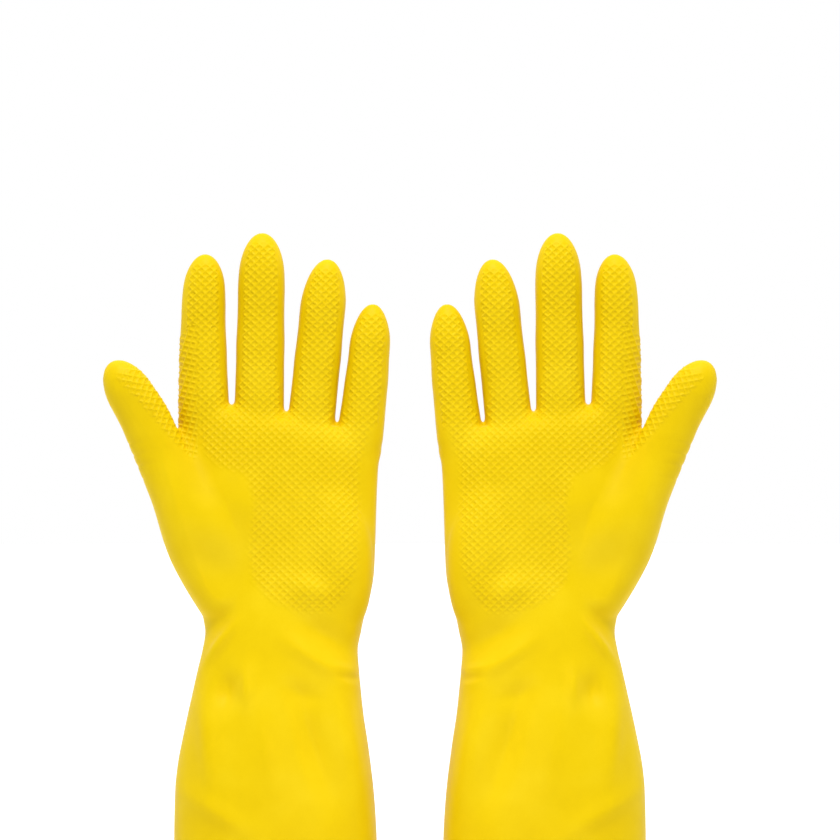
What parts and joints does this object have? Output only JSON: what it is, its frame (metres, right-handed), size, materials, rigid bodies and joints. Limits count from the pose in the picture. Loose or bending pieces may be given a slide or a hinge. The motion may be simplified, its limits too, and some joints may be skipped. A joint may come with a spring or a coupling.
{
  "type": "rubber gloves",
  "caption": "Household rubber gloves with flared gauntlet cuffs, scale-shaped grip ridges on the palms and fingers, and a soft flock lining.",
  "frame": {"origin": "on the ground, half way between the two gloves, which stand on the rolled edges of their cuffs", "axes": "+Z from the cuffs up to the fingertips; the palms face -Y and the backs +Y; the right-hand glove is on +X and the left-hand glove on -X, thumbs outwards"},
  "size_m": [0.2792, 0.0654, 0.31],
  "materials": {
    "latex": "satin",
    "flock": "matte"
  },
  "bodies": {
    "left_cuff": {"left_cuff": "latex", "left_cuff_bead": "latex", "left_cuff_lining": "flock", "left_wrist_fold": "latex"},
    "left_hand": {"left_hand": "latex", "left_hand_lining": "flock"},
    "left_index_root": {"left_index_root": "latex", "left_index_lining": "flock"},
    "left_index_middle": {"left_index_middle": "latex"},
    "left_index_tip": {"left_index_tip": "latex"},
    "left_middle_root": {"left_middle_root": "latex", "left_middle_lining": "flock"},
    "left_middle_middle": {"left_middle_middle": "latex"},
    "left_middle_tip": {"left_middle_tip": "latex"},
    "left_ring_root": {"left_ring_root": "latex", "left_ring_lining": "flock"},
    "left_ring_middle": {"left_ring_middle": "latex"},
    "left_ring_tip": {"left_ring_tip": "latex"},
    "left_little_root": {"left_little_root": "latex", "left_little_lining": "flock"},
    "left_little_middle": {"left_little_middle": "latex"},
    "left_little_tip": {"left_little_tip": "latex"},
    "left_thumb_root": {"left_thumb_root": "latex", "left_thumb_lining": "flock"},
    "left_thumb_tip": {"left_thumb_tip": "latex"},
    "right_cuff": {"right_cuff": "latex", "right_cuff_bead": "latex", "right_cuff_lining": "flock", "right_wrist_fold": "latex"},
    "right_hand": {"right_hand": "latex", "right_hand_lining": "flock"},
    "right_index_root": {"right_index_root": "latex", "right_index_lining": "flock"},
    "right_index_middle": {"right_index_middle": "latex"},
    "right_index_tip": {"right_index_tip": "latex"},
    "right_middle_root": {"right_middle_root": "latex", "right_middle_lining": "flock"},
    "right_middle_middle": {"right_middle_middle": "latex"},
    "right_middle_tip": {"right_middle_tip": "latex"},
    "right_ring_root": {"right_ring_root": "latex", "right_ring_lining": "flock"},
    "right_ring_middle": {"right_ring_middle": "latex"},
    "right_ring_tip": {"right_ring_tip": "latex"},
    "right_little_root": {"right_little_root": "latex", "right_little_lining": "flock"},
    "right_little_middle": {"right_little_middle": "latex"},
    "right_little_tip": {"right_little_tip": "latex"},
    "right_thumb_root": {"right_thumb_root": "latex", "right_thumb_lining": "flock"},
    "right_thumb_tip": {"right_thumb_tip": "latex"}
  },
  "joints": [
    {"name": "gloves_apart", "type": "slide", "parent": "left_cuff", "child": "right_cuff", "axis": [1, 0, 0], "range_m": [0, 0.25]},
    {"name": "left_wrist_bend", "type": "hinge", "parent": "left_cuff", "child": "left_hand", "pos_m": [-0.0614, 0, 0.126], "axis": [1, 0, 0], "range_deg": [-40, 50], "stiffness_Nm_per_rad": 0.15, "deforming": ["left_wrist_fold"]},
    {"name": "left_index_root_bend", "type": "hinge", "parent": "left_hand", "child": "left_index_root", "pos_m": [-0.09373, -0.00554, 0.238], "axis": [1, 0, 0], "range_deg": [-10, 75], "stiffness_Nm_per_rad": 0.02},
    {"name": "left_index_middle_bend", "type": "hinge", "parent": "left_index_root", "child": "left_index_middle", "pos_m": [-0.09381, -0.00604, 0.2565], "axis": [1, 0, 0], "range_deg": [0, 85], "stiffness_Nm_per_rad": 0.008, "deforming": ["left_index_lining"]},
    {"name": "left_index_tip_bend", "type": "hinge", "parent": "left_index_middle", "child": "left_index_tip", "pos_m": [-0.0939, -0.00734, 0.278], "axis": [1, 0, 0], "range_deg": [0, 40], "stiffness_Nm_per_rad": 0.004},
    {"name": "left_middle_root_bend", "type": "hinge", "parent": "left_hand", "child": "left_middle_root", "pos_m": [-0.0691, -0.00554, 0.238], "axis": [1, 0, 0], "range_deg": [-10, 75], "stiffness_Nm_per_rad": 0.02},
    {"name": "left_middle_middle_bend", "type": "hinge", "parent": "left_middle_root", "child": "left_middle_middle", "pos_m": [-0.0688, -0.00615, 0.2595], "axis": [1, 0, 0], "range_deg": [0, 85], "stiffness_Nm_per_rad": 0.008, "deforming": ["left_middle_lining"]},
    {"name": "left_middle_tip_bend", "type": "hinge", "parent": "left_middle_middle", "child": "left_middle_tip", "pos_m": [-0.06846, -0.00779, 0.2845], "axis": [1, 0, 0], "range_deg": [0, 40], "stiffness_Nm_per_rad": 0.004},
    {"name": "left_ring_root_bend", "type": "hinge", "parent": "left_hand", "child": "left_ring_root", "pos_m": [-0.0449, -0.00554, 0.233], "axis": [1, 0, 0], "range_deg": [-10, 75], "stiffness_Nm_per_rad": 0.02},
    {"name": "left_ring_middle_bend", "type": "hinge", "parent": "left_ring_root", "child": "left_ring_middle", "pos_m": [-0.0429, -0.00606, 0.253], "axis": [1, 0, 0], "range_deg": [0, 85], "stiffness_Nm_per_rad": 0.008, "deforming": ["left_ring_lining"]},
    {"name": "left_ring_tip_bend", "type": "hinge", "parent": "left_ring_middle", "child": "left_ring_tip", "pos_m": [-0.0406, -0.00743, 0.276], "axis": [1, 0, 0], "range_deg": [0, 40], "stiffness_Nm_per_rad": 0.004},
    {"name": "left_little_root_bend", "type": "hinge", "parent": "left_hand", "child": "left_little_root", "pos_m": [-0.02188, -0.00555, 0.228], "axis": [1, 0, 0], "range_deg": [-10, 75], "stiffness_Nm_per_rad": 0.02},
    {"name": "left_little_middle_bend", "type": "hinge", "parent": "left_little_root", "child": "left_little_middle", "pos_m": [-0.02039, -0.00593, 0.2425], "axis": [1, 0, 0], "range_deg": [0, 85], "stiffness_Nm_per_rad": 0.008, "deforming": ["left_little_lining"]},
    {"name": "left_little_tip_bend", "type": "hinge", "parent": "left_little_middle", "child": "left_little_tip", "pos_m": [-0.01855, -0.00697, 0.2605], "axis": [1, 0, 0], "range_deg": [0, 40], "stiffness_Nm_per_rad": 0.004},
    {"name": "left_thumb_root_bend", "type": "hinge", "parent": "left_hand", "child": "left_thumb_root", "pos_m": [-0.11491, -0.01105, 0.21182], "axis": [0.8794, 0.2583, 0.4], "range_deg": [-10, 40], "stiffness_Nm_per_rad": 0.02},
    {"name": "left_thumb_tip_bend", "type": "hinge", "parent": "left_thumb_root", "child": "left_thumb_tip", "pos_m": [-0.12311, -0.01243, 0.22922], "axis": [0.8579, 0.258, 0.4444], "range_deg": [0, 60], "stiffness_Nm_per_rad": 0.008, "deforming": ["left_thumb_lining"]},
    {"name": "right_wrist_bend", "type": "hinge", "parent": "right_cuff", "child": "right_hand", "pos_m": [0.0614, 0, 0.126], "axis": [1, 0, 0], "range_deg": [-40, 50], "stiffness_Nm_per_rad": 0.15, "deforming": ["right_wrist_fold"]},
    {"name": "right_index_root_bend", "type": "hinge", "parent": "right_hand", "child": "right_index_root", "pos_m": [0.09373, -0.00554, 0.238], "axis": [1, 0, 0], "range_deg": [-10, 75], "stiffness_Nm_per_rad": 0.02},
    {"name": "right_index_middle_bend", "type": "hinge", "parent": "right_index_root", "child": "right_index_middle", "pos_m": [0.09381, -0.00604, 0.2565], "axis": [1, 0, 0], "range_deg": [0, 85], "stiffness_Nm_per_rad": 0.008, "deforming": ["right_index_lining"]},
    {"name": "right_index_tip_bend", "type": "hinge", "parent": "right_index_middle", "child": "right_index_tip", "pos_m": [0.0939, -0.00734, 0.278], "axis": [1, 0, 0], "range_deg": [0, 40], "stiffness_Nm_per_rad": 0.004},
    {"name": "right_middle_root_bend", "type": "hinge", "parent": "right_hand", "child": "right_middle_root", "pos_m": [0.0691, -0.00554, 0.238], "axis": [1, 0, 0], "range_deg": [-10, 75], "stiffness_Nm_per_rad": 0.02},
    {"name": "right_middle_middle_bend", "type": "hinge", "parent": "right_middle_root", "child": "right_middle_middle", "pos_m": [0.0688, -0.00615, 0.2595], "axis": [1, 0, 0], "range_deg": [0, 85], "stiffness_Nm_per_rad": 0.008, "deforming": ["right_middle_lining"]},
    {"name": "right_middle_tip_bend", "type": "hinge", "parent": "right_middle_middle", "child": "right_middle_tip", "pos_m": [0.06846, -0.00779, 0.2845], "axis": [1, 0, 0], "range_deg": [0, 40], "stiffness_Nm_per_rad": 0.004},
    {"name": "right_ring_root_bend", "type": "hinge", "parent": "right_hand", "child": "right_ring_root", "pos_m": [0.0449, -0.00554, 0.233], "axis": [1, 0, 0], "range_deg": [-10, 75], "stiffness_Nm_per_rad": 0.02},
    {"name": "right_ring_middle_bend", "type": "hinge", "parent": "right_ring_root", "child": "right_ring_middle", "pos_m": [0.0429, -0.00606, 0.253], "axis": [1, 0, 0], "range_deg": [0, 85], "stiffness_Nm_per_rad": 0.008, "deforming": ["right_ring_lining"]},
    {"name": "right_ring_tip_bend", "type": "hinge", "parent": "right_ring_middle", "child": "right_ring_tip", "pos_m": [0.0406, -0.00743, 0.276], "axis": [1, 0, 0], "range_deg": [0, 40], "stiffness_Nm_per_rad": 0.004},
    {"name": "right_little_root_bend", "type": "hinge", "parent": "right_hand", "child": "right_little_root", "pos_m": [0.02188, -0.00555, 0.228], "axis": [1, 0, 0], "range_deg": [-10, 75], "stiffness_Nm_per_rad": 0.02},
    {"name": "right_little_middle_bend", "type": "hinge", "parent": "right_little_root", "child": "right_little_middle", "pos_m": [0.02039, -0.00593, 0.2425], "axis": [1, 0, 0], "range_deg": [0, 85], "stiffness_Nm_per_rad": 0.008, "deforming": ["right_little_lining"]},
    {"name": "right_little_tip_bend", "type": "hinge", "parent": "right_little_middle", "child": "right_little_tip", "pos_m": [0.01855, -0.00697, 0.2605], "axis": [1, 0, 0], "range_deg": [0, 40], "stiffness_Nm_per_rad": 0.004},
    {"name": "right_thumb_root_bend", "type": "hinge", "parent": "right_hand", "child": "right_thumb_root", "pos_m": [0.11491, -0.01105, 0.21182], "axis": [0.8794, -0.2583, -0.4], "range_deg": [-10, 40], "stiffness_Nm_per_rad": 0.02},
    {"name": "right_thumb_tip_bend", "type": "hinge", "parent": "right_thumb_root", "child": "right_thumb_tip", "pos_m": [0.12311, -0.01243, 0.22922], "axis": [0.8579, -0.258, -0.4444], "range_deg": [0, 60], "stiffness_Nm_per_rad": 0.008, "deforming": ["right_thumb_lining"]}
  ],
  "couplings": [
    {"joint": "left_index_tip_bend", "follows": "left_index_middle_bend", "ratio": 0.47059},
    {"joint": "left_middle_tip_bend", "follows": "left_middle_middle_bend", "ratio": 0.47059},
    {"joint": "left_ring_tip_bend", "follows": "left_ring_middle_bend", "ratio": 0.47059},
    {"joint": "left_little_tip_bend", "follows": "left_little_middle_bend", "ratio": 0.47059},
    {"joint": "right_index_tip_bend", "follows": "right_index_middle_bend", "ratio": 0.47059},
    {"joint": "right_middle_tip_bend", "follows": "right_middle_middle_bend", "ratio": 0.47059},
    {"joint": "right_ring_tip_bend", "follows": "right_ring_middle_bend", "ratio": 0.47059},
    {"joint": "right_little_tip_bend", "follows": "right_little_middle_bend", "ratio": 0.47059}
  ]
}
